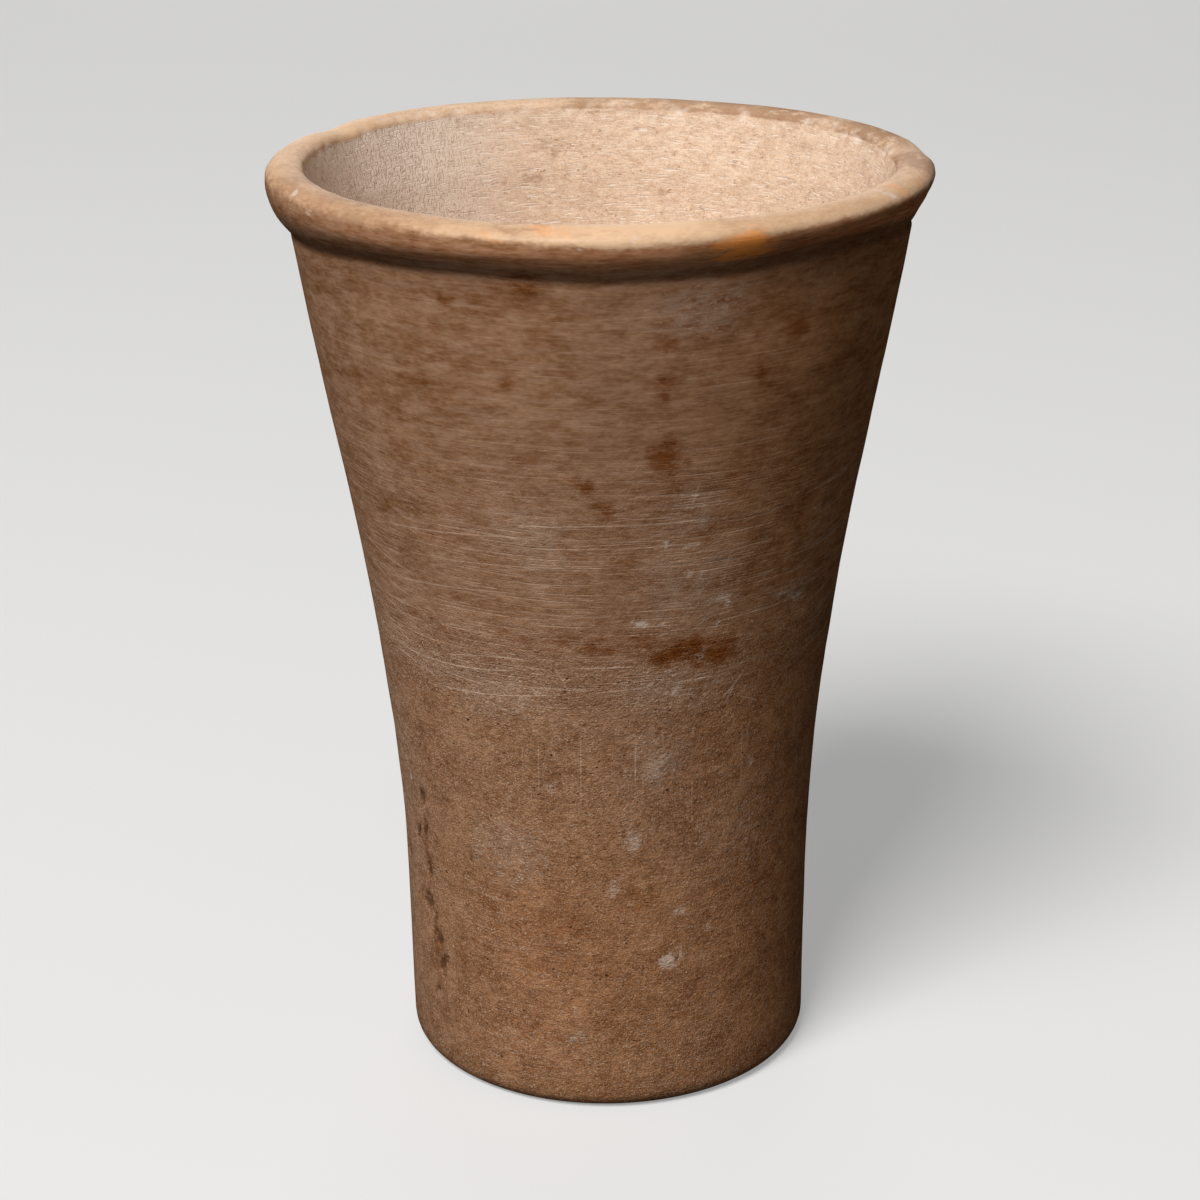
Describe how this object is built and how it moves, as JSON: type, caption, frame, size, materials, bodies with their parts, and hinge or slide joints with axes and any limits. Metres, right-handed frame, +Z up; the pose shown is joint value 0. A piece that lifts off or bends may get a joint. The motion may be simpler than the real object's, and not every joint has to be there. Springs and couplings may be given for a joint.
{
  "type": "conical vase",
  "caption": "Tall conical stone vase, hollow and open at the top: a straight shaft on a flat foot flares smoothly into a cone that ends in a rounded lip over a shallow groove.",
  "frame": {"origin": "centre of the flat foot, on the surface that the vase stands on", "axes": "+Z up along the axis of revolution, towards the mouth; X and Y lie in the plane of the foot, and the picture looks along +Y"},
  "size_m": [0.0898, 0.0898, 0.13],
  "materials": {
    "stone": "hand-ground honey-brown calcite stone: fine abrasive scratches, pale flecks, smoother cream lip and inside"
  },
  "bodies": {
    "root": {"vessel": "stone"}
  },
  "joints": []
}
